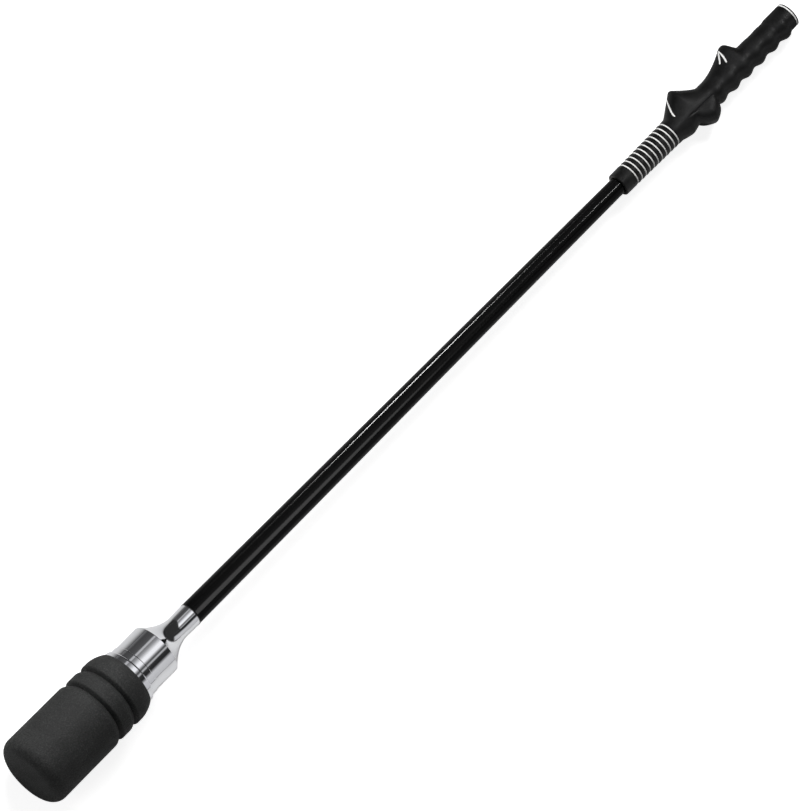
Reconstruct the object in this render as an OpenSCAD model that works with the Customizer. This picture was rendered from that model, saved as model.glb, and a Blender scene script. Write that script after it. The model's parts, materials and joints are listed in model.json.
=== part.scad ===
// Golf swing trainer stick: a weighted foam-covered head, a chromed bell socket,
// a tapered tube and a moulded training grip.
// The stick's axis is +X, from the head to the grip. The origin is the middle of the
// head's flat end face. The grip's thumb side faces +Y and its finger side faces -Y.

/* [Stick] */
// Length of the whole stick, from the head's end face to the top of the butt cap
stick_length = 1000; // [940:5:1100]

/* [Head cover] */
// Largest diameter of the foam cover
cover_d = 69.8; // [66:0.2:76]
// Length of the foam cover
cover_length = 125.5; // [118:0.5:130]
// Rounding of the cover's free end
cover_edge = 11; // [8:0.5:14]
// Foam in front of the weight, along the axis
nose_thickness = 17; // [12:0.5:20]
// Depth of the two grooves round the cover
groove_depth = 2.4; // [1:0.1:3]
// Width of each groove
groove_w = 9; // [6:0.5:10]
// How far the foam gives underneath, where the head lies on a floor
rest_flat = 1; // [0.6:0.1:1.5]

/* [Weight] */
// Diameter of the steel weight in the cover
core_d = 32; // [28:1:40]
// Diameter of the stud that holds the head together and screws into the socket
stud_d = 14; // [12:0.5:16]
// Length of the stud inside the socket, which is the travel of the unscrewing head
thread_length = 16; // [10:1:18]
// Width across the flats of the nut that holds the weight
nut_flats = 21; // [19:1:24]

/* [Coupling] */
// Diameter of the flange that closes the cover
flange_d = 55.3; // [53:0.1:57]
// Diameter of the socket's cylinder
socket_d = 50; // [48:0.5:52]
// Length of the socket's cylinder, up to its shoulder
socket_length = 26.1; // [24:0.1:32]
// Length of the curved bell between the shoulder and the neck
bell_length = 28.8; // [24:0.2:34]
// Diameter of the neck at its narrowest
neck_d = 21.9; // [20.5:0.1:23.5]
// Length of the neck
neck_length = 15.5; // [12:0.5:20]
// Length of the spigot that is glued into the tube
spigot_length = 38; // [25:1:60]

/* [Tube] */
// Diameter of the tube where it meets the neck
tube_d = 22.3; // [21.8:0.1:23]
// Diameter of the tube's far end, inside the grip
tube_tip_d = 14.1; // [13.6:0.1:14.6]
// Wall of the tube
tube_wall = 1; // [0.8:0.1:1.2]

/* [Grip] */
// Length of the rubber grip, with its cap
grip_length = 228; // [228:1:240]
// Number of white rings on the grip's collar
ring_count = 11; // [6:1:11]
// Distance from one white ring to the next
ring_pitch = 5.28; // [4.8:0.02:5.28]
// Width of each white ring
ring_w = 1.3; // [0.9:0.1:1.6]
// Height of the pointed ridge next to the collar
ridge_height = 14; // [8:0.5:16]
// Height of the second ridge
second_ridge_height = 11; // [6:0.5:13]
// Height of the rounded wing on the finger side
wing_height = 11; // [6:0.5:12]
// Height of the swells between the fingers
swell_height = 2.3; // [1:0.1:3]
// Thickness of the tape between the tube and the grip
tape_thickness = 0.25; // [0.15:0.05:0.3]
// Diameter of the air hole in the butt cap
vent_d = 3; // [2:0.5:4]

/* [Hidden] */
$fn = 96;

// Clearances: a running fit on the thread, a glue gap, and loose air gaps
thread_clearance = 0.05;
glue_gap = 0.15;

// Stations along the axis
flange_x = cover_length - 6.5;
cone_x = cover_length + 4.5;
spacer_x = cone_x + 2;
spacer_length = 7.1;
socket_x = spacer_x + spacer_length;
shoulder_x = socket_x + socket_length;
neck_x = shoulder_x + bell_length;
mouth_x = neck_x + neck_length;
trim_length = 1.2;
tube_x = mouth_x + trim_length;
tube_end_x = stick_length - 10;
grip_x = stick_length - grip_length;

// Head assembly
cover_flat_r = cover_d / 2 - cover_edge;
nut_length = 11;
washer_length = 2.5;
washer_d = 28;
stud_tip = 1.5;
nut_x = nose_thickness + stud_tip + 0.5;
washer_x = nut_x + nut_length;
core_x = washer_x + washer_length;
core_length = flange_x - core_x;
stud_x = nut_x - stud_tip;
thread_depth = thread_length + 2;
flange_cone_d = socket_d + 2;
spacer_d = socket_d + 1.2;
groove_x = [82.8, 102];

// Coupling
shoulder_r = socket_d / 2 - 0.3;
mouth_d = neck_d + 0.9;
bell_power = 1.9;
spigot_r = tube_d / 2 - tube_wall - 0.3;
edge_break = 0.5;

// Grip, measured from its mouth
first_ring = 14.1;
ring_sink = 0.3;
groove_sink = 0.9;
ribs_end = 76;
moulded_start = 73.5;
sleeve_end = grip_length - 3.8;
moulded_rings = 68;
moulded_sides = 48;
butt_ring_w = 1.4;
butt_r = 12.1;
cap_spigot_r = 6.9;

// Radius of the tube's outside at x
function tube_r(x) =
    tube_d / 2 + (tube_tip_d - tube_d) / 2 * (x - tube_x) / (tube_end_x - tube_x);

// Points of an arc round [r, x], from angle a to angle b
function arc(r, x, radius, a, b, steps = 8) =
    [for (i = [0 : steps])
        let (t = a + (b - a) * i / steps)
        [r + radius * cos(t), x + radius * sin(t)]];

// 1 in the middle of a groove and 0 beyond its width
function groove(x, middle) = pow(max(0, 1 - abs(x - middle) / (groove_w / 2)), 1.6);

// Radius of the cover's outside at x, behind its rounded end
tail_x = 110;
function cover_body_r(x) = cover_d / 2 - 0.5 * (x - cover_edge) / 70;
function cover_tail(x) =
    x < tail_x ? 0 : 4.4 * pow((x - tail_x) / (cover_length - tail_x), 2);
function cover_r(x) =
    cover_body_r(x) - 0.5 * min(1, max(0, (x - 78) / 6)) - cover_tail(x)
    - groove_depth * (groove(x, groove_x[0]) + groove(x, groove_x[1]));

// The floor that the stick lies on, under the second bead and the butt: its lean and height
bead_x = 110;
bead_low = cover_r(bead_x) - rest_flat;
floor_lean = atan((bead_low - butt_r) / (stick_length - 1 - bead_x));

// A ridge that starts at a, peaks at b and ends at c, with a power for each flank
function ridge(g, a, b, c, front, back) =
    g <= a || g >= c ? 0
    : g < b ? pow((g - a) / (b - a), front)
    : pow((c - g) / (c - b), back);

// How far a swell reaches round the grip: 1 at angle 0, falling off over spread degrees
function wrap(angle, spread) = exp(-pow(angle / spread, 2));

// Heights above the round grip, along each side
function thumb_rise(g) =
    ridge_height * ridge(g, 74, 96, 113, 1, 1.15)
    + second_ridge_height * ridge(g, 122, 160, 170.5, 1.8, 0.7)
    - 0.5 * (ridge(g, 180, 187, 194, 1, 1) + ridge(g, 195, 201, 205, 1, 1));
function finger_rise(g) =
    2.8 * ridge(g, 74, 85, 96, 0.7, 0.8)
    + wing_height * ridge(g, 93, 109.5, 121.5, 0.8, 0.6)
    + (g < 121.5 || g > 217 ? 0 : swell_height * (0.5 + 0.5 * cos((g - 126) * 360 / 17.2)));

// Radius of the round grip, and of its moulded outside at angle f from the thumb side
function grip_r(g) = lookup(g, [[0, 11.25], [15, 11.4], [74, 12.3], [130, 11.8],
                                [203, 11.7], [206, butt_r], [grip_length, butt_r]]);
function moulded_r(g, f) =
    grip_r(g) + thumb_rise(g) * wrap(f > 180 ? f - 360 : f, 42)
    + finger_rise(g) * wrap(f - 180, 55);
function moulded_point(g, f, lift = 0) =
    let (r = moulded_r(g, f) + lift)
    [grip_x + g, r * cos(f), r * sin(f)];

// A turned piece: points are [radius, x]
module turned(points) {
    rotate([0, 90, 0])
        rotate_extrude()
            polygon(points);
}

// A plain round bar or cone from x = a to x = b
module bar(a, b, r1, r2 = undef) {
    translate([a, 0, 0])
        rotate([0, 90, 0])
            cylinder(h = b - a, r1 = r1, r2 = is_undef(r2) ? r1 : r2);
}

// A flat ring from x = a to x = b
module ring(a, b, outer, inner) {
    difference() {
        bar(a, b, outer);
        bar(a - 1, b + 1, inner);
    }
}

// A closed skin over rings of points, each ring in the same order
module skin(rings) {
    sides = len(rings[0]);
    last = (len(rings) - 1) * sides;
    points = [for (row = rings) each row];
    faces = concat(
        [[for (j = [0 : sides - 1]) j]],
        [for (i = [0 : len(rings) - 2], j = [0 : sides - 1])
            let (k = (j + 1) % sides, a = i * sides, b = a + sides)
            each [[a + j, b + j, a + k], [a + k, b + j, b + k]]],
        [[for (j = [sides - 1 : -1 : 0]) last + j]]);
    polyhedron(points, faces, convexity = 6);
}

// Everything below the floor near the head
module below_floor() {
    translate([bead_x, 0, -bead_low])
        rotate([0, -floor_lean, 0])
            translate([-bead_x - 10, -cover_d, -cover_d])
                cube([cover_length + 30, 2 * cover_d, cover_d]);
}

// Foam cover: a cup with a rounded end, two grooves and a lip round the flange, flattened
// a little where it lies on the floor
module head_cover() {
    color([0.17, 0.17, 0.17])
        difference() {
            turned(concat(
                [[0, 0]],
                arc(cover_flat_r, cover_edge, cover_edge, -90, 0),
                [for (i = [1 : 38])
                    let (x = cover_edge + (cover_length - cover_edge) * i / 38)
                    [cover_r(x), x]],
                [[0, cover_length]]));
            bar(nose_thickness, core_x + 1, washer_d / 2 + glue_gap);
            bar(core_x, flange_x + 1, core_d / 2 + glue_gap);
            bar(flange_x, cover_length + 1, flange_d / 2 + glue_gap);
            below_floor();
        }
}

// Steel weight, bored for the stud
module core_weight() {
    color([0.45, 0.46, 0.48])
        ring(core_x, flange_x, core_d / 2, stud_d / 2 + thread_clearance);
}

module end_washer() {
    color([0.6, 0.6, 0.62])
        ring(washer_x, core_x, washer_d / 2, stud_d / 2 + 0.5);
}

// Hexagon nut
module end_nut() {
    color([0.6, 0.6, 0.62])
        difference() {
            translate([nut_x, 0, 0])
                rotate([0, 90, 0])
                    cylinder(h = nut_length, r = nut_flats / sqrt(3), $fn = 6);
            bar(nut_x - 1, washer_x + 1, stud_d / 2 + thread_clearance);
        }
}

// Stud through the whole head, with its free end in the socket
module head_stud() {
    color([0.62, 0.62, 0.65])
        turned([[0, stud_x], [stud_d / 2 - 1, stud_x], [stud_d / 2, stud_x + 1],
                [stud_d / 2, socket_x + thread_length - 1],
                [stud_d / 2 - 1, socket_x + thread_length],
                [0, socket_x + thread_length]]);
}

// Chromed flange that closes the cover, with a cone down to the spacer
module flange_collar() {
    color([0.86, 0.87, 0.9])
        difference() {
            turned([[0, flange_x], [flange_d / 2, flange_x],
                    [flange_d / 2, cone_x - edge_break],
                    [flange_d / 2 - edge_break, cone_x],
                    [flange_cone_d / 2, spacer_x - edge_break],
                    [flange_cone_d / 2 - edge_break, spacer_x], [0, spacer_x]]);
            bar(flange_x - 1, spacer_x + 1, stud_d / 2 + thread_clearance);
        }
}

// Chromed ring caught on the stud between the flange and the socket
module spacer_ring() {
    color([0.86, 0.87, 0.9])
        difference() {
            turned([[0, spacer_x], [spacer_d / 2 - edge_break, spacer_x],
                    [spacer_d / 2, spacer_x + edge_break],
                    [spacer_d / 2, socket_x - edge_break],
                    [spacer_d / 2 - edge_break, socket_x], [0, socket_x]]);
            bar(spacer_x - 1, socket_x + 1, stud_d / 2 + 0.3);
        }
}

// Chromed socket: cylinder, concave bell, neck and the spigot for the tube
module bell_socket() {
    bell_steps = 14;
    color([0.86, 0.87, 0.9])
        difference() {
            turned(concat(
                [[0, socket_x], [socket_d / 2 - edge_break, socket_x],
                 [socket_d / 2, socket_x + edge_break],
                 [socket_d / 2, shoulder_x - 0.3]],
                [for (i = [0 : bell_steps])
                    let (t = i / bell_steps)
                    [neck_d / 2 + (shoulder_r - neck_d / 2) * pow(1 - t, bell_power),
                     shoulder_x + bell_length * t]],
                [[mouth_d / 2, mouth_x - 1], [mouth_d / 2 - 0.4, mouth_x],
                 [spigot_r, mouth_x], [spigot_r, mouth_x + spigot_length - 1],
                 [spigot_r - 1, mouth_x + spigot_length],
                 [0, mouth_x + spigot_length]]));
            bar(socket_x - 1, socket_x + thread_depth, stud_d / 2 + thread_clearance);
        }
}

// Black trim ring between the neck and the tube
module neck_trim_ring() {
    color([0.08, 0.08, 0.08])
        ring(mouth_x, tube_x, tube_d / 2 + 0.25, spigot_r + 0.1);
}

// Tapered tube
module shaft_tube() {
    color([0.03, 0.03, 0.035])
        difference() {
            bar(tube_x, tube_end_x, tube_r(tube_x), tube_r(tube_end_x));
            bar(tube_x - 1, tube_end_x + 1,
                tube_r(tube_x - 1) - tube_wall, tube_r(tube_end_x + 1) - tube_wall);
        }
}

// Mounting tape between the tube and the grip
module grip_tape() {
    start = grip_x + 3;
    end = tube_end_x - 1;
    gap = 0.03;
    color([0.75, 0.72, 0.65])
        difference() {
            bar(start, end, tube_r(start) + tape_thickness, tube_r(end) + tape_thickness);
            bar(start - 1, end + 1, tube_r(start - 1) + gap, tube_r(end + 1) + gap);
        }
}

// Collar of the grip: a plain band, then grooves for the white rings between low ribs
module grip_collar() {
    mouth_edge = 0.8;
    slot = ring_w / 2 + 0.1;
    turned(concat(
        [[0, grip_x], [grip_r(0) - mouth_edge, grip_x], [grip_r(0), grip_x + mouth_edge]],
        [for (i = [0 : ring_count - 1])
            let (g = first_ring + ring_pitch * i, r = grip_r(g))
            each [[r - 0.35, grip_x + g - slot - 0.5], [r - groove_sink, grip_x + g - slot],
                  [r - groove_sink, grip_x + g + slot], [r - 0.35, grip_x + g + slot + 0.5],
                  [r, grip_x + g + slot + 1.3], [r, grip_x + g + ring_pitch - slot - 1.3]]],
        [[grip_r(74), grip_x + ribs_end], [0, grip_x + ribs_end]]));
}

// Moulded part of the grip: ridges, wing and finger swells over a round core
module grip_moulding() {
    tuck = 0.9;
    skin([for (i = [0 : moulded_rings])
        let (g = moulded_start + (sleeve_end - moulded_start) * i / moulded_rings)
        [for (j = [0 : moulded_sides - 1])
            moulded_point(g, 360 * j / moulded_sides, i == 0 ? -tuck : 0)]]);
}

// Rubber grip, bored for the taped tube
module grip_sleeve() {
    bore_start = grip_x - 1;
    bore_end = grip_x + sleeve_end + 1;
    play = tape_thickness + 0.06;
    color([0.1, 0.1, 0.1])
        difference() {
            union() {
                grip_collar();
                grip_moulding();
            }
            bar(bore_start, bore_end, tube_r(bore_start) + play, tube_r(bore_end) + play);
        }
}

// White rings, one solid in each groove of the collar
module grip_rings() {
    color([0.95, 0.95, 0.95])
        for (i = [0 : ring_count - 1]) {
            g = first_ring + ring_pitch * i;
            ring(grip_x + g - ring_w / 2, grip_x + g + ring_w / 2,
                 grip_r(g) - ring_sink, grip_r(g) - groove_sink + 0.03);
        }
}

// A white strip laid into the grip's surface, from one [g, angle] to another
module mark(from, to) {
    steps = 8;
    half_w = 0.65;
    under = -0.4;
    over = 0.12;
    function place(t) = from + (to - from) * t;
    function across(t) =
        let (p = place(t), q = place(t + 0.01), middle = moulded_point(p[0], p[1]),
             ahead = moulded_point(q[0], q[1]) - middle, out = [0, cos(p[1]), sin(p[1])],
             side = cross(ahead, out))
        side / norm(side) * half_w;
    skin([for (i = [0 : steps])
        let (t = i / steps, p = place(t), side = across(t),
             low = moulded_point(p[0], p[1], under), high = moulded_point(p[0], p[1], over))
        [low - side, low + side, high + side, high - side]]);
}

// Three alignment lines: one on the first ridge and two that meet at the second
module grip_marks() {
    color([0.95, 0.95, 0.95]) {
        mark([88.6, 11], [80.1, 61]);
        mark([153.4, 12], [143.9, 42]);
        mark([155.4, 12], [149.3, 53]);
    }
}

// White ring next to the butt cap
module butt_ring() {
    start = grip_x + sleeve_end;
    color([0.95, 0.95, 0.95])
        ring(start, start + butt_ring_w, butt_r - 0.1, butt_r - 1.4);
}

// Butt cap with a low dome, a plug for the grip's bore and an air hole
module butt_cap() {
    start = grip_x + sleeve_end;
    rim = start + butt_ring_w;
    dome_edge = 1.2;
    color([0.07, 0.07, 0.07])
        difference() {
            turned([[0, tube_end_x + 0.5], [cap_spigot_r, tube_end_x + 0.5],
                    [cap_spigot_r, start], [butt_r - 1.5, start], [butt_r - 1.5, rim],
                    [butt_r, rim], [butt_r, stick_length - dome_edge],
                    [butt_r - 0.5, stick_length - 0.6], [butt_r - 1.5, stick_length - 0.25],
                    [butt_r / 2, stick_length], [0, stick_length]]);
            bar(tube_end_x - 1, stick_length + 1, vent_d / 2);
        }
}

head_cover();
core_weight();
end_washer();
end_nut();
head_stud();
flange_collar();
spacer_ring();
bell_socket();
neck_trim_ring();
shaft_tube();
grip_tape();
grip_sleeve();
grip_rings();
grip_marks();
butt_ring();
butt_cap();
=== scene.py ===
"""Looks of the swing trainer stick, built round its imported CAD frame.

The stick lies along +X with its head's end face at the origin. The grip's thumb side faces +Y.
The pieces are worked out in millimetres, and make_object turns them into metres. The stage, the
camera and the lights are in metres. In the grip, g is the distance from the grip's mouth and f is
the angle round the axis in degrees, from 0 on the thumb side.
"""
import json

import bpy
import numpy as np
from math import atan, ceil, cos, exp, pi, radians, sin, sqrt
from mathutils import Matrix, Vector

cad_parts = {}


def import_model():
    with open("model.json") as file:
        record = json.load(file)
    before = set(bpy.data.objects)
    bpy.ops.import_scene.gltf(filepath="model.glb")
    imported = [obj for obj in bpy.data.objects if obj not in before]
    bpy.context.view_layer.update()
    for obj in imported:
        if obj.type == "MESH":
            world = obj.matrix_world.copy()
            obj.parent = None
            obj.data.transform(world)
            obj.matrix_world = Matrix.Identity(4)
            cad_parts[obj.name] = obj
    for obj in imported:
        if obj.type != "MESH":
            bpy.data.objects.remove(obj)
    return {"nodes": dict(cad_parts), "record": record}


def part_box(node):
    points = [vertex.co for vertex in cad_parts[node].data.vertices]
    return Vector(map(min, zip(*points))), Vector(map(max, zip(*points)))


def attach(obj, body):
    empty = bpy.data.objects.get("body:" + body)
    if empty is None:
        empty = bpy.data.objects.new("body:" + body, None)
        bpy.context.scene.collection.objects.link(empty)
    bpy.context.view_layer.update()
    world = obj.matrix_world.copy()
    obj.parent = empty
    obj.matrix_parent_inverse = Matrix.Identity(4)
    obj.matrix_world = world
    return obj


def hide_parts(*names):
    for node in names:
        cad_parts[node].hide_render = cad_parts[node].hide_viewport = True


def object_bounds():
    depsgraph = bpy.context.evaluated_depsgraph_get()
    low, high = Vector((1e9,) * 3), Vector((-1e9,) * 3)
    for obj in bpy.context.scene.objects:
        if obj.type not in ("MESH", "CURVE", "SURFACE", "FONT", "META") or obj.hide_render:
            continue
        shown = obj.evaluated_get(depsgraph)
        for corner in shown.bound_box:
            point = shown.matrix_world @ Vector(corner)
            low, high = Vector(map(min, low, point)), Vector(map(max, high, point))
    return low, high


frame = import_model()
cad_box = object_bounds()
MM = 0.001


# ---------------------------------------------------------------- sizes from the frame

def span(node):
    """(lowest x, highest x, largest radius) of a CAD node, in millimetres."""
    low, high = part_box(node)
    return low.x / MM, high.x / MM, (high.z - low.z) / 2 / MM


_, cover_x1, cover_r = span("head_cover")
core_x0, core_x1, core_r = span("core_weight")
_, _, washer_r = span("end_washer")
stud_x0, stud_x1, stud_r = span("head_stud")
flange_x0, flange_x1, flange_r = span("flange_collar")
spacer_x0, spacer_x1, spacer_r = span("spacer_ring")
socket_x0, spigot_x1, socket_r = span("bell_socket")
trim_x0, trim_x1, trim_r = span("neck_trim_ring")
tube_x0, tube_x1, tube_r = span("shaft_tube")
grip_x0, grip_x1, _ = span("grip_sleeve")
butt_x0, butt_x1, butt_ring_r = span("butt_ring")
cap_x0, cap_x1, cap_r = span("butt_cap")


# ---------------------------------------------------------------- mesh helpers

def smoothstep(t):
    t = min(1.0, max(0.0, t))
    return t * t * (3 - 2 * t)


def lookup(x, pairs):
    """Straight-line interpolation in [(key, value), ...]."""
    return float(np.interp(x, [p[0] for p in pairs], [p[1] for p in pairs]))


def circle(x, radius, sides):
    """Points round the axis at x."""
    return [(x, radius * cos(2 * pi * j / sides), radius * sin(2 * pi * j / sides))
            for j in range(sides)]


def make_object(name, vertices, faces, sharp_angle=35):
    """A smooth-shaded object from points in millimetres, sharp where its faces turn enough."""
    mesh = bpy.data.meshes.new(name)
    mesh.from_pydata([Vector(v) * MM for v in vertices], [], faces)
    mesh.validate()
    mesh.update()
    for polygon in mesh.polygons:
        polygon.use_smooth = True
    mesh.set_sharp_from_angle(angle=radians(sharp_angle))
    obj = bpy.data.objects.new(name, mesh)
    bpy.context.scene.collection.objects.link(obj)
    return obj


def rings_to_faces(ring_total, sides, closed):
    """Quads between neighbouring rings, and from the last ring to the first if closed."""
    faces = []
    last = ring_total if closed else ring_total - 1
    for i in range(last):
        a = i * sides
        b = (i + 1) % ring_total * sides
        for j in range(sides):
            k = (j + 1) % sides
            faces.append((a + j, a + k, b + k, b + j))
    return faces


def skin(name, rings, closed=False, sharp_angle=35):
    """A mesh over rings of points, with flat caps on its two ends unless it closes on itself."""
    sides = len(rings[0])
    vertices = [p for ring in rings for p in ring]
    faces = rings_to_faces(len(rings), sides, closed)
    if not closed:
        faces.append(tuple(reversed(range(sides))))
        faces.append(tuple(range(len(vertices) - sides, len(vertices))))
    return make_object(name, vertices, faces, sharp_angle)


def fillet(points, sizes, steps=4):
    """Rounds the corners of an outline. sizes gives the cut at each point, 0 for a sharp one."""
    out = []
    total = len(points)
    for i, (point, size) in enumerate(zip(points, sizes)):
        p = Vector(point)
        if not size:
            out.append(p)
            continue
        to_last = (Vector(points[i - 1]) - p).normalized()
        to_next = (Vector(points[(i + 1) % total]) - p).normalized()
        start, end = p + to_last * size, p + to_next * size
        for s in range(steps + 1):
            t = s / steps
            out.append(start * (1 - t) ** 2 + p * 2 * t * (1 - t) + end * t * t)
    return out


def dense(points, step):
    """The closed outline with no straight stretch longer than step."""
    out = []
    for i, point in enumerate(points):
        a, b = Vector(point), Vector(points[(i + 1) % len(points)])
        pieces = max(1, ceil((b - a).length / step))
        out += [a.lerp(b, s / pieces) for s in range(pieces)]
    return out


def turned(name, outline, sides=192, sharp_angle=35):
    """A turned piece with a bore. outline is a closed loop of (x, radius) in millimetres."""
    rings = [circle(x, radius, sides) for x, radius in outline]
    return skin(name, rings, closed=True, sharp_angle=sharp_angle)


# ---------------------------------------------------------------- material helpers

class Nodes:
    """A node tree with short calls for the nodes used here."""

    def __init__(self, tree):
        self.tree = tree

    def add(self, kind, **settings):
        node = self.tree.nodes.new(kind)
        for key, value in settings.items():
            setattr(node, key, value)
        return node

    def link(self, source, target):
        self.tree.links.new(source, target)

    def remap(self, value, low, high, to_low=0.0, to_high=1.0):
        """Turns low to high into to_low to to_high, and holds the ends."""
        node = self.add("ShaderNodeMapRange")
        for key, number in (("From Min", low), ("From Max", high),
                            ("To Min", to_low), ("To Max", to_high)):
            node.inputs[key].default_value = number
        self.link(value, node.inputs["Value"])
        return node.outputs["Result"]

    def math(self, operation, a, b):
        node = self.add("ShaderNodeMath", operation=operation)
        for socket, value in zip(node.inputs, (a, b)):
            if isinstance(value, (int, float)):
                socket.default_value = value
            else:
                self.link(value, socket)
        return node.outputs[0]

    def xyz(self, vector):
        """The X, Y and Z outputs of a vector."""
        node = self.add("ShaderNodeSeparateXYZ")
        self.link(vector, node.inputs[0])
        return node.outputs

    def ramp(self, value, stops):
        node = self.add("ShaderNodeValToRGB")
        elements = node.color_ramp.elements
        while len(elements) < len(stops):
            elements.new(0.5)
        for element, (place, color) in zip(elements, stops):
            element.position = place
            element.color = (*color, 1)
        self.link(value, node.inputs["Fac"])
        return node.outputs["Color"]


class Shader(Nodes):
    """A new material whose patterns follow the piece's own coordinates."""

    def __init__(self, name):
        self.material = bpy.data.materials.new(name)
        self.material.use_nodes = True
        super().__init__(self.material.node_tree)
        self.principled = self.tree.nodes["Principled BSDF"]
        self.position = self.add("ShaderNodeTexCoord").outputs["Object"]

    def set(self, **values):
        """Sets sockets of the shader that are the same all over, such as Metallic=1.0."""
        for key, value in values.items():
            self.principled.inputs[key.replace("_", " ")].default_value = value

    def drive(self, **sources):
        """Links patterns to sockets of the shader, such as Base_Color=color."""
        for key, source in sources.items():
            self.link(source, self.principled.inputs[key.replace("_", " ")])

    def noise(self, scale, detail=2.0, roughness=0.5, vector=None):
        node = self.add("ShaderNodeTexNoise")
        node.inputs["Scale"].default_value = scale
        node.inputs["Detail"].default_value = detail
        node.inputs["Roughness"].default_value = roughness
        self.link(vector or self.position, node.inputs["Vector"])
        return node.outputs["Fac"]

    def cells(self, scale):
        node = self.add("ShaderNodeTexVoronoi")
        node.inputs["Scale"].default_value = scale
        self.link(self.position, node.inputs["Vector"])
        return node.outputs["Distance"]

    def stretched(self, x, y, z):
        node = self.add("ShaderNodeMapping")
        node.inputs["Scale"].default_value = (x, y, z)
        self.link(self.position, node.inputs["Vector"])
        return node.outputs["Vector"]

    def bump(self, height, distance, strength=1.0, below=None):
        """Relief of that height in metres, over the relief below it."""
        node = self.add("ShaderNodeBump")
        node.inputs["Strength"].default_value = strength
        node.inputs["Distance"].default_value = distance
        self.link(height, node.inputs["Height"])
        if below:
            self.link(below, node.inputs["Normal"])
        return node.outputs["Normal"]


def grey(value, tint=(1, 1, 1)):
    """A grey colour of that level, with each channel scaled by the tint."""
    return tuple(value * t for t in tint)


def foam_material():
    s = Shader("foam_rubber")
    grain = s.noise(700, 4, 0.75)
    cell = s.cells(620)
    blotch = s.noise(45, 4, 0.6)
    mixed = s.math("ADD", s.math("MULTIPLY", grain, 0.8), s.math("MULTIPLY", blotch, 0.2))
    pits = s.bump(s.remap(cell, 0.0, 0.5), 0.0003, 0.8)
    s.drive(Base_Color=s.ramp(mixed, [(0.36, grey(0.006, (0.98, 1.02, 1.0))),
                                      (0.52, grey(0.017, (0.98, 1.02, 1.0))),
                                      (0.66, grey(0.045, (0.99, 1.02, 1.0)))]),
            Roughness=s.remap(grain, 0.3, 0.7, 0.62, 0.76),
            Normal=s.bump(grain, 0.0008, 0.9, pits))
    s.set(Specular_IOR_Level=0.2)
    return s.material


def chrome_material():
    """Plated steel with the faint marks of turning under its plate."""
    s = Shader("chrome_plate")
    turning = s.noise(1400, 3, 0.6, s.stretched(1, 0.02, 0.02))
    smear = s.noise(45, 4, 0.6)
    s.drive(Base_Color=s.ramp(smear, [(0.3, (0.84, 0.85, 0.88)), (0.7, (0.9, 0.905, 0.92))]),
            Roughness=s.remap(smear, 0.35, 0.7, 0.05, 0.11),
            Normal=s.bump(turning, 0.000004, 0.5))
    s.set(Metallic=1.0)
    return s.material


def steel_material():
    s = Shader("plain_steel")
    lines = s.noise(900, 4, 0.7, s.stretched(1, 0.05, 0.05))
    stain = s.noise(70, 4, 0.6)
    s.drive(Base_Color=s.ramp(stain, [(0.3, (0.33, 0.33, 0.34)), (0.7, (0.5, 0.5, 0.51))]),
            Roughness=s.remap(lines, 0.3, 0.7, 0.28, 0.45),
            Normal=s.bump(lines, 0.00002, 0.5))
    s.set(Metallic=1.0)
    return s.material


def enamel_material():
    """Gloss black with a slight orange peel and dust."""
    s = Shader("black_enamel")
    peel = s.noise(260, 2, 0.5)
    dust = s.noise(1800, 3, 0.7)
    s.drive(Base_Color=s.ramp(dust, [(0.35, grey(0.0022)), (0.75, grey(0.0048))]),
            Roughness=s.remap(dust, 0.3, 0.7, 0.09, 0.15),
            Normal=s.bump(peel, 0.00001, 0.4))
    s.set(Specular_IOR_Level=0.07)
    return s.material


def rubber_material(name, dark, light, roughness):
    s = Shader(name)
    grain = s.noise(2600, 3, 0.6)
    wear = s.noise(90, 4, 0.6)
    s.drive(Base_Color=s.ramp(wear, [(0.3, grey(dark)), (0.75, grey(light, (1, 1.02, 1.03)))]),
            Roughness=s.remap(wear, 0.3, 0.7, roughness - 0.05, roughness + 0.08),
            Normal=s.bump(grain, 0.00006, 0.55))
    s.set(Specular_IOR_Level=0.3)
    return s.material


def inlay_material():
    """The white of the rings and marks, slightly grimy."""
    s = Shader("white_inlay")
    grime = s.noise(400, 4, 0.6)
    s.drive(Base_Color=s.ramp(grime, [(0.25, (0.66, 0.66, 0.65)), (0.6, (0.84, 0.84, 0.83))]),
            Roughness=s.remap(grime, 0.3, 0.7, 0.45, 0.6),
            Normal=s.bump(grime, 0.00004, 0.4))
    return s.material


def tape_material():
    s = Shader("tape")
    weave = s.noise(1200, 3, 0.6)
    s.drive(Base_Color=s.ramp(weave, [(0.3, (0.5, 0.45, 0.36)), (0.7, (0.68, 0.62, 0.52))]),
            Roughness=s.remap(weave, 0.3, 0.7, 0.7, 0.9),
            Normal=s.bump(weave, 0.00005, 0.5))
    return s.material


MATERIALS = {
    "foam_rubber": foam_material(),
    "chrome_plate": chrome_material(),
    "plain_steel": steel_material(),
    "black_enamel": enamel_material(),
    "trim_plastic": rubber_material("trim_plastic", 0.006, 0.012, 0.3),
    "grip_rubber": rubber_material("grip_rubber", 0.004, 0.009, 0.4),
    "cap_rubber": rubber_material("cap_rubber", 0.004, 0.009, 0.38),
    "white_inlay": inlay_material(),
    "tape": tape_material(),
}


def finish_piece(obj, body, slot, *nodes):
    """Gives a new piece the material of its slot, puts it in its body, and hides the CAD nodes it
    stands for.
    """
    obj.data.materials.clear()
    obj.data.materials.append(MATERIALS[slot])
    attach(obj, body)
    if nodes:
        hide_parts(*nodes)
    return obj


# ---------------------------------------------------------------- head cover

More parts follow.
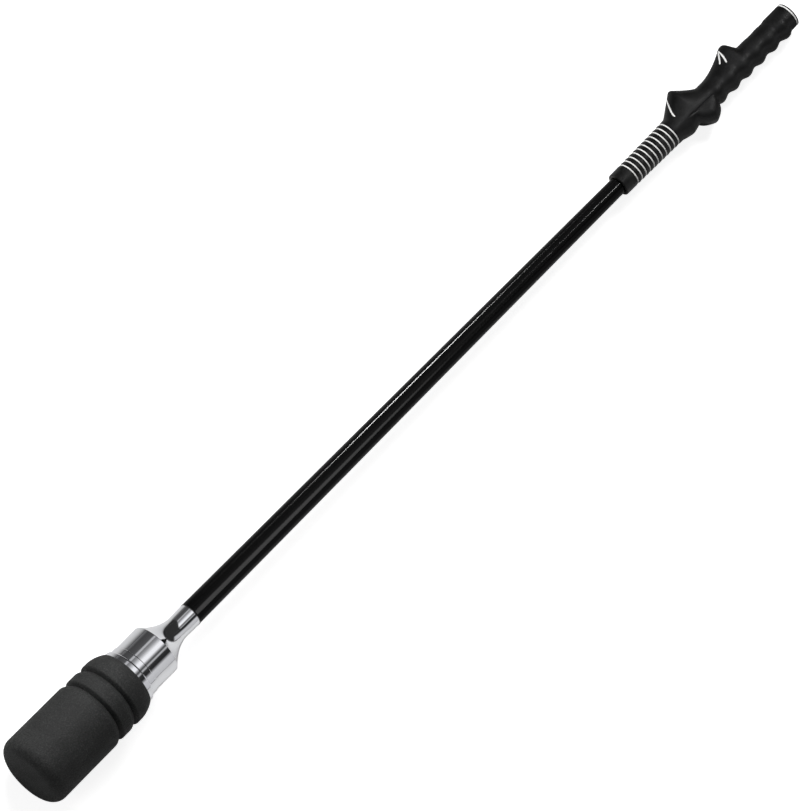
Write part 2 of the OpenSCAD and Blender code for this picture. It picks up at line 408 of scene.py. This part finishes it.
GROOVES_X = (83.6, 102.8)
GROOVE_FRONT, GROOVE_FRONT_POWER = 7.3, 1.9
GROOVE_REAR, GROOVE_REAR_POWER = 3.0, 1.3
GROOVE_DEPTH = 3.8
COVER_EDGE = 11.0       # radius of the rounded free end
COVER_EDGE_STEPS = 16
COVER_TAPER, COVER_TAPER_LENGTH = 0.5, 70
COVER_STEP, COVER_STEP_X, COVER_STEP_LENGTH = 0.5, 76, 9
TAIL_X = 110.0          # where the cover starts to close in on the flange
TAIL_DROP = 4.4
COVER_STATIONS = 190
COVER_LIP = 0.7
POCKET_GAP = 0.15
AXIS_R = 0.02           # a closed end's inner radius: small, but not a point
OUTLINE_STEP = 3.0
POCKET_END_GAP = 0.5
FOAM_SKIN = 12          # only the foam this far outside the weight is made uneven
SWELL_WAVES = 6
SWELL_FREQUENCY = 55
SWELL_M = 0.00012
BEAD_X = 110.0          # the bead that the head rests on
REST_FLAT = 1.0         # how much the foam gives there
BUTT_RIM_X = 999.0      # the butt's rim, the other place that the stick rests on
BUTT_RIM_R = 12.1


def groove(x, middle):
    """A V with a long front slope and a short rear one: 1 in its corner, 0 past its ends."""
    if x < middle:
        reach, power = GROOVE_FRONT, GROOVE_FRONT_POWER
    else:
        reach, power = GROOVE_REAR, GROOVE_REAR_POWER
    return (1 - min(1.0, abs(x - middle) / reach)) ** power


def cover_outline_r(x):
    """Outer radius of the cover behind its rounded end."""
    taper = COVER_TAPER * (x - COVER_EDGE) / COVER_TAPER_LENGTH
    step = COVER_STEP * smoothstep((x - COVER_STEP_X) / COVER_STEP_LENGTH)
    body = cover_r - taper - step
    tail = TAIL_DROP * (max(0.0, x - TAIL_X) / (cover_x1 - TAIL_X)) ** 2
    cut = GROOVE_DEPTH * (groove(x, GROOVES_X[0]) + groove(x, GROOVES_X[1]))
    return body - tail - cut


def floor_slope():
    """Rise of the floor along the stick, from the bead to the butt's rim."""
    return (cover_outline_r(BEAD_X) - REST_FLAT - BUTT_RIM_R) / (BUTT_RIM_X - BEAD_X)


def floor_z(x):
    """Height of the floor under x: it carries the flattened bead and the butt's rim."""
    return REST_FLAT - cover_outline_r(BEAD_X) + (x - BEAD_X) * floor_slope()


def cover_outline():
    """Closed outline of the foam cup: its outside, the lip round the flange, and the stepped
    pocket of the weight."""
    outer = [(0.0, AXIS_R), (0.0, 8.0), (0.0, 16.0), (0.0, cover_r - COVER_EDGE - 1)]
    for i in range(COVER_EDGE_STEPS + 1):
        a = -pi / 2 + pi / 2 * i / COVER_EDGE_STEPS
        outer.append((COVER_EDGE + COVER_EDGE * sin(a),
                      cover_r - COVER_EDGE + COVER_EDGE * cos(a)))
    lip_x = cover_x1 - COVER_LIP
    for i in range(1, COVER_STATIONS + 1):
        x = COVER_EDGE + (lip_x - COVER_EDGE) * i / COVER_STATIONS
        outer.append((x, cover_outline_r(x)))
    edge_r = cover_outline_r(lip_x)
    outer += [(cover_x1 - 0.2, edge_r - 0.35), (cover_x1, edge_r - 0.8)]
    flange_hole, core_hole, washer_hole = (r + POCKET_GAP for r in (flange_r, core_r, washer_r))
    pocket_end = stud_x0 - POCKET_END_GAP
    inner = [(cover_x1, flange_hole), (core_x1, flange_hole), (core_x1, core_hole),
             (core_x0, core_hole), (core_x0, washer_hole),
             (pocket_end, washer_hole), (pocket_end, AXIS_R)]
    return dense(outer + inner, OUTLINE_STEP)


def head_cover():
    """The foam, slightly uneven like any moulding, and pressed flat where it meets the floor."""
    obj = turned("head_cover_foam", cover_outline(), sides=224, sharp_angle=50)
    rng = np.random.default_rng(7)
    mesh = obj.data
    co = np.empty(len(mesh.vertices) * 3)
    mesh.vertices.foreach_get("co", co)
    co = co.reshape(-1, 3)
    r = np.hypot(co[:, 1], co[:, 2])
    outside = r > (core_r + FOAM_SKIN) * MM
    waves = rng.normal(size=(SWELL_WAVES, 3)) * SWELL_FREQUENCY
    phase = rng.uniform(0, 2 * pi, SWELL_WAVES)
    swell = sum(np.sin(co @ w + p) for w, p in zip(waves, phase)) / SWELL_WAVES
    push = np.where(outside, SWELL_M * swell, 0.0)
    co[:, 1:] *= (1 + push / np.maximum(r, 1e-6))[:, None]
    ground = floor_z(co[:, 0] / MM) * MM
    co[:, 2] = np.where(outside, np.maximum(co[:, 2], ground), co[:, 2])
    mesh.vertices.foreach_set("co", co.ravel())
    mesh.update()
    return finish_piece(obj, "head", "foam_rubber", "head_cover")


# ---------------------------------------------------------------- chromed pieces

THREAD_GAP = 0.05
SPACER_GAP = 0.3
FLANGE_CHAMFER = 1.2
FLANGE_STEP = 0.4


def flange_collar():
    bore = stud_r + THREAD_GAP
    points = [(flange_x0, bore), (flange_x0, flange_r), (flange_x1 - FLANGE_CHAMFER, flange_r),
              (flange_x1, spacer_r + FLANGE_STEP), (flange_x1, bore)]
    outline = dense(fillet(points, [0.3, 0.4, 0.7, 0.45, 0.3]), 0.6)
    return finish_piece(turned("flange_chrome", outline), "head", "chrome_plate",
                        "flange_collar")


def spacer_ring():
    bore = stud_r + SPACER_GAP
    points = [(spacer_x0, bore), (spacer_x0, spacer_r), (spacer_x1, spacer_r),
              (spacer_x1, bore)]
    outline = dense(fillet(points, [0.2, 0.6, 0.6, 0.2]), 0.5)
    return finish_piece(turned("spacer_chrome", outline), "spacer", "chrome_plate",
                        "spacer_ring")


SHOULDER_X = 165.2
SHOULDER_BREAK = 0.3    # the bell starts this much inside the cylinder
BELL_LENGTH = 28.8
BELL_POWER = 1.9
BELL_STEPS = 48
NECK_R = 10.95
MOUTH_FLARE = 0.45
SPIGOT_R = 9.6          # the part of the socket that goes into the tube
THREAD_RUNOUT = 2       # how far the socket's bore goes past the stud


def bell_socket():
    """Socket: a bored cylinder, a crisp shoulder, the concave bell, the neck and the spigot."""
    bore = stud_r + THREAD_GAP
    bore_end = stud_x1 + THREAD_RUNOUT
    shoulder_r = socket_r - SHOULDER_BREAK
    bell = []
    for i in range(BELL_STEPS + 1):
        t = i / BELL_STEPS
        bell.append((SHOULDER_X + BELL_LENGTH * t,
                     NECK_R + (shoulder_r - NECK_R) * (1 - t) ** BELL_POWER))
    front = fillet([(bore_end, AXIS_R), (bore_end, bore), (socket_x0, bore),
                    (socket_x0, socket_r), (SHOULDER_X, socket_r)],
                   [0, 0, 0.4, 0.5, 0.22])[:-1]
    back = fillet([(trim_x0, NECK_R + MOUTH_FLARE), (trim_x0, SPIGOT_R),
                   (spigot_x1, SPIGOT_R), (spigot_x1, AXIS_R)], [0.5, 0, 0.8, 0])
    outline = dense(front + bell + back, 0.6)
    return finish_piece(turned("bell_chrome", outline), "stick", "chrome_plate",
                        "bell_socket")


def trim_ring():
    bore = SPIGOT_R + 0.1
    points = [(trim_x0, bore), (trim_x0, trim_r), (trim_x1, trim_r), (trim_x1, bore)]
    outline = fillet(points, [0, 0.3, 0.3, 0])
    return finish_piece(turned("neck_trim", outline), "stick", "trim_plastic",
                        "neck_trim_ring")


# ---------------------------------------------------------------- stud with its thread

THREAD_PITCH = 2.0
THREAD_DEPTH = 1.1
THREAD_RUN_IN = 1.5     # length over which the thread reaches its full depth
THREAD_STEPS = 12       # stations in one turn
STUD_CHAMFER = 1.0
STUD_SIDES = 96
SHANK_STEP = 6.0


def stud_stations(thread_start):
    """Stations along the stud: far apart on its plain shank and close together on its thread."""
    stations = []
    x = stud_x0
    for stop, step in ((thread_start - 2, SHANK_STEP), (stud_x1, THREAD_PITCH / THREAD_STEPS)):
        while x < stop - 1e-6:
            stations.append(x)
            x += step
        x = stop
    return stations + [stud_x1]


def threaded_stud():
    """The stud, with a real helix where it screws into the socket."""
    thread_start = spacer_x0 - 0.5
    rings = [circle(stud_x0, AXIS_R, STUD_SIDES)]
    for x in stud_stations(thread_start):
        depth = THREAD_DEPTH * smoothstep((x - thread_start) / THREAD_RUN_IN)
        from_end = min(x - stud_x0, stud_x1 - x)
        core = stud_r - max(0.0, STUD_CHAMFER - from_end)
        ring = []
        for j in range(STUD_SIDES):
            turn = j / STUD_SIDES
            wave = abs(((x / THREAD_PITCH - turn) % 1.0) * 2 - 1)
            r = core - depth * smoothstep(wave * 1.3 - 0.15)
            ring.append((x, r * cos(2 * pi * turn), r * sin(2 * pi * turn)))
        rings.append(ring)
    rings.append(circle(stud_x1, AXIS_R, STUD_SIDES))
    obj = skin("stud_threaded", rings, sharp_angle=50)
    return finish_piece(obj, "head", "plain_steel", "head_stud")


# ---------------------------------------------------------------- tube

TUBE_TIP_R = 7.05
TUBE_WALL = 1.0


def tube_r_at(x):
    """Radius of the tapered tube at x."""
    return tube_r + (TUBE_TIP_R - tube_r) * (x - tube_x0) / (tube_x1 - tube_x0)


def shaft_tube():
    points = [(tube_x0, tube_r_at(tube_x0) - TUBE_WALL), (tube_x0, tube_r_at(tube_x0)),
              (tube_x1, tube_r_at(tube_x1)), (tube_x1, tube_r_at(tube_x1) - TUBE_WALL)]
    outline = dense(fillet(points, [0, 0.25, 0.2, 0]), 20)
    return finish_piece(turned("tube_enamel", outline), "stick", "black_enamel",
                        "shaft_tube")


# ---------------------------------------------------------------- grip

FIRST_RING = 14.1
RING_PITCH = 5.28
RING_W = 1.3
RING_COUNT = 11
RING_SLOT = RING_W / 2 + 0.05       # half the width of a ring's slot
RING_SLOT_DEPTH = 0.9
RING_SHOULDER, RING_SHOULDER_LENGTH = 0.38, 1.5
RING_TOP, RING_BOTTOM = 0.28, 0.87  # how deep a ring's outside and inside lie in the rubber
SLEEVE_LENGTH = grip_x1 - grip_x0
GRIP_SIDES = 180
TAPE_WALL = 0.31
SHAPED_FROM = 60                    # the ridges, the wing and the swells all lie past this g
THUMB_SPREAD = 42                   # degrees round the grip
WING_EDGE, WING_SPREAD = 78, 60     # degrees from the finger side
GRIP_RADII = [(0, 11.25), (15, 11.4), (74, 12.3), (130, 11.8), (203, 11.7), (206, 12.1),
              (230, 12.1)]
SWELL_FIRST, SWELL_PITCH, SWELL_HEIGHT, SWELL_POWER = 126, 17.2, 2.3, 1.3
CREASE_FROM, CREASE_DEPTH, CREASE_WIDTH = 86, 0.45, 3.6


def ridge(g, foot, crest, end, front, back, flat=0.0):
    """A ridge from foot to end, flat-topped behind its crest; front and back shape its flanks."""
    if g <= foot or g >= end:
        return 0.0
    if g < crest:
        return ((g - foot) / (crest - foot)) ** front
    if g < crest + flat:
        return 1.0
    return ((end - g) / (end - crest - flat)) ** back


def window(g, start, rise, stop, fall):
    """1 between start and stop, with a soft rise after start and a soft fall after stop."""
    return smoothstep((g - start) / rise) * (1 - smoothstep((g - stop) / fall))


def thumb_rise(g):
    """Height of the two ridges and the shallow dips on the thumb side."""
    first = 15 * ridge(g, foot=73.5, crest=95.6, end=115, front=1.0, back=1.2)
    second = 10.8 * ridge(g, foot=122, crest=157.5, end=168.5, front=1.8, back=1.0, flat=4.5)
    dips = 0.5 * (ridge(g, foot=180, crest=187, end=194, front=1, back=1)
                  + ridge(g, foot=195, crest=201, end=205, front=1, back=1))
    return first + second - dips


def wing_rise(g):
    """Height of the wing on the finger side, with the low heel in front of it."""
    heel = 2.8 * ridge(g, foot=74, crest=85, end=96, front=0.7, back=0.8)
    return heel + 10.4 * ridge(g, foot=95, crest=107.9, end=119.4, front=0.52, back=0.42)


def swell_rise(g):
    """Height of the finger swells."""
    fade = window(g, start=119, rise=4, stop=214, fall=5)
    return SWELL_HEIGHT * fade * (0.5 + 0.5 * cos((g - SWELL_FIRST) * 2 * pi / SWELL_PITCH))


def smooth_table(function, spread, step=0.25):
    """Samples a function and rounds it over spread, so that crests and feet aren't knife-sharp."""
    xs = np.arange(SHAPED_FROM - 4 * spread, SLEEVE_LENGTH + 4 * spread, step)
    ys = np.array([function(x) for x in xs])
    reach = int(3 * spread / step)
    kernel = np.exp(-0.5 * (np.arange(-reach, reach + 1) * step / spread) ** 2)
    return xs, np.convolve(np.pad(ys, reach, mode="edge"), kernel / kernel.sum(), "valid")


THUMB = smooth_table(thumb_rise, 1.1)
WING = smooth_table(wing_rise, 1.0)
SWELL = smooth_table(swell_rise, 0.6)


def rib_cut(g):
    """Depth of the ring grooves at g: square slots for the rings, with soft shoulders."""
    nearest = round((g - FIRST_RING) / RING_PITCH)
    if nearest < 0 or nearest >= RING_COUNT:
        return 0.0
    away = abs(g - FIRST_RING - nearest * RING_PITCH)
    if away < RING_SLOT:
        return RING_SLOT_DEPTH
    return RING_SHOULDER * (1 - smoothstep((away - RING_SLOT) / RING_SHOULDER_LENGTH))


def crease(g, side):
    """Depth of the fold in the rubber that runs above the wing, on the upper side."""
    along = window(g, start=CREASE_FROM, rise=8, stop=116, fall=5)
    place = 97 + 6 * smoothstep((g - CREASE_FROM) / 14)
    return CREASE_DEPTH * along * exp(-((side - place) / CREASE_WIDTH) ** 2)


def grip_outline_r(g, f):
    """Radius of the grip at g, at angle f in degrees from the thumb side."""
    base = lookup(g, GRIP_RADII) - rib_cut(g)
    side = f - 360 if f > 180 else f
    thumb = float(np.interp(g, *THUMB)) * exp(-(side / THUMB_SPREAD) ** 2)
    off = abs(f - 180)
    wing = float(np.interp(g, *WING)) * smoothstep((WING_EDGE - off) / WING_SPREAD)
    swell = float(np.interp(g, *SWELL)) * (0.5 + 0.5 * cos(radians(off))) ** SWELL_POWER
    return base + thumb + wing + swell - crease(g, side)


def grip_point(g, f, lift=0.0):
    """The point on the grip's surface, or lift above it."""
    r = grip_outline_r(g, f) + lift
    return Vector((grip_x0 + g, r * cos(radians(f)), r * sin(radians(f))))


def grip_stations():
    """Stations along the grip: at each slot's edges on the collar, then every half millimetre."""
    stations = [0.75, 1.2, 4, 8, 12, 14]
    from_edge = (-0.01, 0.001, 0.3, 0.6, 1.0, 1.4)
    for i in range(RING_COUNT):
        middle = FIRST_RING + i * RING_PITCH
        for past in from_edge:
            stations += [middle - RING_SLOT - past, middle + RING_SLOT + past]
    stations += list(np.arange(72.0, SLEEVE_LENGTH - 0.4, 0.5))
    return sorted(stations)


def grip_sleeve():
    """The moulded grip: rounded mouth, shaped outside, rounded rear edge and bore."""
    mouth = [(0.0, -0.75), (0.1, -0.35), (0.35, -0.1)]
    rear = [(SLEEVE_LENGTH - 0.25, -0.05), (SLEEVE_LENGTH, -0.35)]
    angles = [360 * j / GRIP_SIDES for j in range(GRIP_SIDES)]
    rings = [[grip_point(g, f, lift) for f in angles]
             for g, lift in mouth + [(g, 0.0) for g in grip_stations()] + rear]
    bore = [circle(x, tube_r_at(x) + TAPE_WALL, GRIP_SIDES) for x in (grip_x1, grip_x0)]
    obj = skin("grip_moulded", rings + bore, closed=True, sharp_angle=55)
    return finish_piece(obj, "stick", "grip_rubber", "grip_sleeve")


def ring_outline(middle, outer, inner, width):
    """Outline of a flat band with rounded outer corners."""
    half = width / 2
    points = [(middle - half, inner), (middle - half, outer), (middle + half, outer),
              (middle + half, inner)]
    return fillet(points, [0, 0.22, 0.22, 0], 3)


def grip_rings():
    """The white rings, joined into one piece of separate bands."""
    sides = 160
    vertices, faces = [], []
    for i in range(RING_COUNT):
        g = FIRST_RING + i * RING_PITCH
        r = lookup(g, GRIP_RADII)
        outline = ring_outline(grip_x0 + g, r - RING_TOP, r - RING_BOTTOM, RING_W)
        start = len(vertices)
        for x, radius in outline:
            vertices += circle(x, radius, sides)
        faces += [tuple(start + v for v in face)
                  for face in rings_to_faces(len(outline), sides, True)]
    obj = make_object("collar_rings", vertices, faces)
    return finish_piece(obj, "stick", "white_inlay", "grip_rings")


# Each mark runs through three (g, f) places.
MARKS = (((89.2, 0), (81.5, 28), (79.0, 56)), ((154.0, 6), (148.8, 21), (144.4, 35)),
         ((154.6, 6), (152.0, 28), (149.2, 50)))
MARK_W = 1.6
MARK_STEPS = 28
# Section of a mark: (share of its half width, height over the rubber).
MARK_CROWN = [(-1, -0.35), (-1, 0.03), (-0.7, 0.1), (0, 0.13), (0.7, 0.1), (1, 0.03),
              (1, -0.35)]


def mark_strip(index, start, middle, end):
    """A white strip laid in the grip's surface along a curve through three (g, f) places."""
    start, end = Vector(start), Vector(end)
    pull = Vector(middle) * 2 - (start + end) / 2
    length = (grip_point(*end) - grip_point(*start)).length

    def along_mark(t):
        return start * (1 - t) ** 2 + pull * 2 * t * (1 - t) + end * t * t

    rings = []
    for i in range(MARK_STEPS + 1):
        t = i / MARK_STEPS
        g, f = along_mark(t)
        place = grip_point(g, f)
        along = (grip_point(*along_mark(t + 0.01)) - place).normalized()
        out = Vector((0, cos(radians(f)), sin(radians(f))))
        side = along.cross(out).normalized()
        up = side.cross(along).normalized()
        from_end = min(t, 1 - t) * length
        taper = sqrt(max(0.05, 1 - max(0.0, 1 - from_end / (MARK_W / 2)) ** 2))
        half = MARK_W / 2 * taper
        rings.append([place + side * half * a + up * b for a, b in MARK_CROWN])
    return skin(f"mark_{index}", rings, sharp_angle=60)


def grip_marks():
    strips = [mark_strip(i, *places) for i, places in enumerate(MARKS)]
    for strip in strips:
        finish_piece(strip, "stick", "white_inlay")
    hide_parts("grip_marks")
    return strips


BUTT_RING_WALL = 1.3
CAP_SPIGOT_WALL = 1.5   # how far the cap is turned down where it carries the ring
CAP_PLUG_R = 6.9
CAP_RIM_R = 1.0
CAP_DOME = 1.9
CAP_RIM_STEPS, CAP_DOME_STEPS = 8, 12
VENT_R = 1.5


def butt_ring():
    middle = (butt_x0 + butt_x1) / 2
    outline = ring_outline(middle, butt_ring_r, butt_ring_r - BUTT_RING_WALL,
                           butt_x1 - butt_x0)
    return finish_piece(turned("butt_band", outline), "stick", "white_inlay", "butt_ring")


def butt_cap():
    """Butt cap: plug, rim and a low dome round the air hole."""
    spigot_r = cap_r - CAP_SPIGOT_WALL
    points = [(cap_x0, VENT_R), (cap_x0, CAP_PLUG_R), (butt_x0, CAP_PLUG_R),
              (butt_x0, spigot_r), (butt_x1, spigot_r), (butt_x1, cap_r)]
    outline = fillet(points, [0, 0.4, 0, 0, 0, 0.2])
    rim_x = cap_x1 - CAP_DOME
    for i in range(CAP_RIM_STEPS + 1):
        a = pi / 2 * i / CAP_RIM_STEPS
        outline.append((rim_x + CAP_RIM_R * sin(a), cap_r - CAP_RIM_R + CAP_RIM_R * cos(a)))
    last_x, last_r = outline[-1]
    for i in range(1, CAP_DOME_STEPS + 1):
        t = i / CAP_DOME_STEPS
        outline.append((last_x + (cap_x1 - last_x) * (1 - (1 - t) ** 2),
                        last_r + (VENT_R + 0.5 - last_r) * t))
    outline.append((cap_x1 - 0.4, VENT_R))
    obj = turned("butt_cap_rubber", dense(outline, 1.0), 160)
    return finish_piece(obj, "stick", "cap_rubber", "butt_cap")


# ---------------------------------------------------------------- stage, light and camera

SENSOR_MM = 36
CAMERA_LENS_MM = 1024.0
CAMERA_DISTANCE = 19.97
CAMERA_TILT = radians(21.0)     # from straight above towards the head's end
CAMERA_ROLL = radians(45.1)
CAMERA_CLIP = (0.1, 60)
FRAMING = (0.0106, 0.0117)      # how far the target is left of and below the stick's middle


def camera():
    """A long lens that sees the head's end, with the stick rising to the upper right."""
    toward = Vector((-sin(CAMERA_TILT), 0, cos(CAMERA_TILT)))
    along = Vector((cos(CAMERA_TILT), 0, sin(CAMERA_TILT)))
    across = Vector((0, 1, 0))
    right = along * cos(CAMERA_ROLL) - across * sin(CAMERA_ROLL)
    up = along * sin(CAMERA_ROLL) + across * cos(CAMERA_ROLL)
    data = bpy.data.cameras.new("camera")
    data.sensor_width = SENSOR_MM
    data.lens = CAMERA_LENS_MM
    middle = Vector(((cad_box[0][0] + cad_box[1][0]) / 2, 0, 0))
    target = middle - right * FRAMING[0] - up * FRAMING[1]
    obj = bpy.data.objects.new("camera", data)
    turn = Matrix((right, up, toward)).transposed().to_4x4()
    obj.matrix_world = Matrix.Translation(target + toward * CAMERA_DISTANCE) @ turn
    data.clip_start, data.clip_end = CAMERA_CLIP
    bpy.context.scene.collection.objects.link(obj)
    bpy.context.scene.camera = obj


FLOOR_HALF = 24.0
FLOOR_CELLS = 24
FLOOR_LIFT = 0.85               # glow for the camera, which makes the floor white
# Painted shade in what gloss sees of the floor, so the chrome's reflections of it are darker
# towards the thumb side and along the stick towards the grip: its level sideways, from y = -1 (0)
# to y = 1 (1), times a level that falls off along the stick between two places.
FLOOR_REFLECTION_SHADE_SIDEWAYS = [(0.0, grey(0.85)), (0.4, grey(0.85)), (0.46, grey(0.9)), (0.51, grey(0.9)),
                  (0.55, grey(0.7)), (0.6, grey(0.45)), (0.67, grey(0.25)), (1.0, grey(0.1))]
FLOOR_REFLECTION_SHADE_FALL_X = (0.6, 0.95)
FLOOR_REFLECTION_SHADE_FAR_LEVEL = 0.06


def floor_material():
    s = Shader("floor")
    path = s.add("ShaderNodeLightPath")
    place = s.xyz(s.position)
    # Painted shade for reflections: gloss sees the floor darker towards the thumb side and past
    # the grip.
    sideways = s.ramp(s.remap(place["Y"], -1, 1), FLOOR_REFLECTION_SHADE_SIDEWAYS)
    along = s.remap(place["X"], *FLOOR_REFLECTION_SHADE_FALL_X, 1.0, FLOOR_REFLECTION_SHADE_FAR_LEVEL)
    plain = s.ramp(s.noise(3, 2), [(0.3, grey(0.59)), (0.7, grey(0.61))])
    seen = s.add("ShaderNodeMix", data_type="RGBA")
    s.link(path.outputs["Is Glossy Ray"], seen.inputs["Factor"])
    s.link(plain, seen.inputs["A"])
    s.link(s.math("MULTIPLY", sideways, along), seen.inputs["B"])
    s.drive(Base_Color=seen.outputs["Result"],
            Emission_Strength=s.math("MULTIPLY", path.outputs["Is Camera Ray"], FLOOR_LIFT))
    s.set(Roughness=0.9, Specular_IOR_Level=0.1, Emission_Color=(1, 1, 1, 1))
    return s.material


def floor():
    """A wide pale sheet under the stick, which leans with the stick by about a degree."""
    edges = [(i / FLOOR_CELLS * 2 - 1) * FLOOR_HALF for i in range(FLOOR_CELLS + 1)]
    vertices = [(x, y, 0) for x in edges for y in edges]
    row = FLOOR_CELLS + 1
    faces = [(a, a + row, a + row + 1, a + 1)
             for i in range(FLOOR_CELLS) for a in range(i * row, i * row + FLOOR_CELLS)]
    mesh = bpy.data.meshes.new("floor")
    mesh.from_pydata(vertices, [], faces)
    mesh.materials.append(floor_material())
    obj = bpy.data.objects.new("floor", mesh)
    obj.location = (BEAD_X * MM, 0, floor_z(BEAD_X) * MM)
    obj.rotation_euler = (0, -atan(floor_slope()), 0)
    bpy.context.scene.collection.objects.link(obj)


def area_light(name, place, target, size, power):
    """A rectangular light at place, facing target."""
    data = bpy.data.lights.new(name, "AREA")
    data.shape = "RECTANGLE"
    data.size, data.size_y = size
    data.energy = power
    obj = bpy.data.objects.new(name, data)
    obj.location = place
    facing = (Vector(target) - Vector(place)).to_track_quat("-Z", "Y")
    obj.rotation_euler = facing.to_euler()
    bpy.context.scene.collection.objects.link(obj)
    return obj


# What polished metal sees round the stick's axis: (degrees, brightness), from straight up (0)
# towards the finger side (positive). Soft boxes with dark gaps between them.
STUDIO = [(-140, 0.55), (-112, 0.42), (-92, 0.2), (-76, 0.06), (-56, 0.075), (-46, 0.1),
          (-42, 0.5), (-37, 0.5), (-34, 0.19), (-24, 0.34), (-15, 0.66), (-8, 0.97),
          (3, 0.95), (9, 0.4), (14, 0.09), (19, 0.1), (22, 0.48), (25, 0.48), (29, 0.03),
          (46, 0.02), (53, 0.3), (58, 0.6), (92, 0.52), (140, 0.55)]
STUDIO_TINT = (1, 1, 1.02)
AMBIENT = 0.1
# The dark patch beyond the grip's end: where it lies round the axis, and the two values of a
# direction's X between which it starts. Its start slants by FAR_SLANT between two angles.
FAR_END = [(-180, 0), (-95, 0), (-85, 1), (26, 1), (34, 0), (180, 0)]
FAR_END_LEVEL = 0.03
FAR_START = (0.37, 0.43)
FAR_SLANT = 0.2
FAR_SLANT_FROM, FAR_SLANT_TO = -40, 5
END_ON = (0.9, 0.94)            # the X past which every direction is dark


def world():
    """Plain white behind the stage, soft boxes for gloss, and an even dim light for the rest."""
    w = bpy.data.worlds.new("studio")
    bpy.context.scene.world = w
    w.use_nodes = True
    n = Nodes(w.node_tree)
    n.tree.nodes.clear()

    def turn_share(degrees):
        return (degrees + 180) / 360

    def mix(factor, off, on):
        node = n.add("ShaderNodeMixShader")
        for source, socket in zip((factor, off, on), node.inputs):
            n.link(source, socket)
        return node.outputs[0]

    def plain(level):
        node = n.add("ShaderNodeBackground")
        node.inputs["Color"].default_value = (level, level, level, 1)
        return node.outputs[0]

    direction = n.xyz(n.add("ShaderNodeTexCoord").outputs["Generated"])
    angle = n.math("ARCTAN2", n.math("MULTIPLY", direction["Y"], -1), direction["Z"])
    share = n.remap(angle, -pi, pi)

    def round_axis(levels):
        return n.ramp(share, [(turn_share(degrees), grey(level, STUDIO_TINT))
                              for degrees, level in levels])

    slant = n.remap(share, turn_share(FAR_SLANT_FROM), turn_share(FAR_SLANT_TO), 0, FAR_SLANT)
    far = n.remap(n.math("SUBTRACT", direction["X"], slant), *FAR_START)
    dark = n.math("MAXIMUM", n.math("MULTIPLY", far, round_axis(FAR_END)),
                  n.remap(direction["X"], *END_ON))
    boxes = n.add("ShaderNodeBackground")
    n.link(round_axis(STUDIO), boxes.inputs["Color"])
    studio = mix(dark, boxes.outputs[0], plain(FAR_END_LEVEL))
    path = n.add("ShaderNodeLightPath").outputs
    seen = mix(path["Is Glossy Ray"], plain(AMBIENT), studio)
    seen = mix(path["Is Camera Ray"], seen, plain(1.0))
    n.link(seen, n.add("ShaderNodeOutputWorld").inputs["Surface"])


def gloss_only(light, name):
    """Lets a light show only as a sheen, and only on the named piece."""
    light.visible_diffuse = False
    only = bpy.data.collections.new(light.name + "_receivers")
    only.objects.link(bpy.data.objects[name])
    light.light_linking.receiver_collection = only


def tube_highlight(name, x, sideways, distance, size, power):
    """An oval light that the tube mirrors to the camera from x. It stands sideways degrees to
    the thumb side of straight up."""
    out = Vector((sin(CAMERA_TILT), cos(CAMERA_TILT) * sin(radians(sideways)),
                  cos(CAMERA_TILT) * cos(radians(sideways))))
    start = Vector((x, 0, 0))
    place = start + out * distance
    light = area_light(name, place, start + Vector((place.x - x, 0, 0)), size, power)
    light.data.shape = "ELLIPSE"
    gloss_only(light, "tube_enamel")


def lights():
    key = area_light("key", (2.7, 2.1, 3.1), target=(0.45, 0, 0), size=(3.2, 2.4), power=230)
    key.visible_glossy = False
    tube_highlight("tube_band", x=0.17, sideways=-27, distance=1.9, size=(0.74, 1.3),
                   power=20.5)
    tube_highlight("tube_line", x=0.52, sideways=67.8, distance=1.7, size=(0.21, 0.12),
                   power=20)
    tube_highlight("tube_end_line", x=0.88, sideways=3.2, distance=1.7, size=(0.2, 0.06),
                   power=8)
    head = area_light("head_sheen", (0.77, 1.2, 1.43), target=(0.05, 0, 0),
                      size=(0.7, 0.7), power=90)
    gloss_only(head, "head_cover_foam")
    grip = area_light("grip_sheen", (1.95, 0.12, 1.6), target=(0.86, 0, 0),
                      size=(0.35, 0.35), power=5)
    gloss_only(grip, "grip_moulded")
    front = area_light("front_fill", (-1.6, 0.9, 0.35), target=(0, 0, 0), size=(1.0, 1.0),
                       power=14)
    front.visible_glossy = False


# ---------------------------------------------------------------- build

head_cover()
flange_collar()
spacer_ring()
bell_socket()
trim_ring()
threaded_stud()
shaft_tube()
grip_sleeve()
grip_rings()
grip_marks()
butt_ring()
butt_cap()

# The CAD nodes that no piece stands for show themselves, in the same materials.
for part in frame["record"]["subparts"]:
    data = frame["nodes"][part["node"]].data
    for index in range(len(data.materials)):
        data.materials[index] = MATERIALS[part["material_slot"]]

camera()
floor()
world()
lights()
bpy.context.scene.view_settings.view_transform = "Standard"
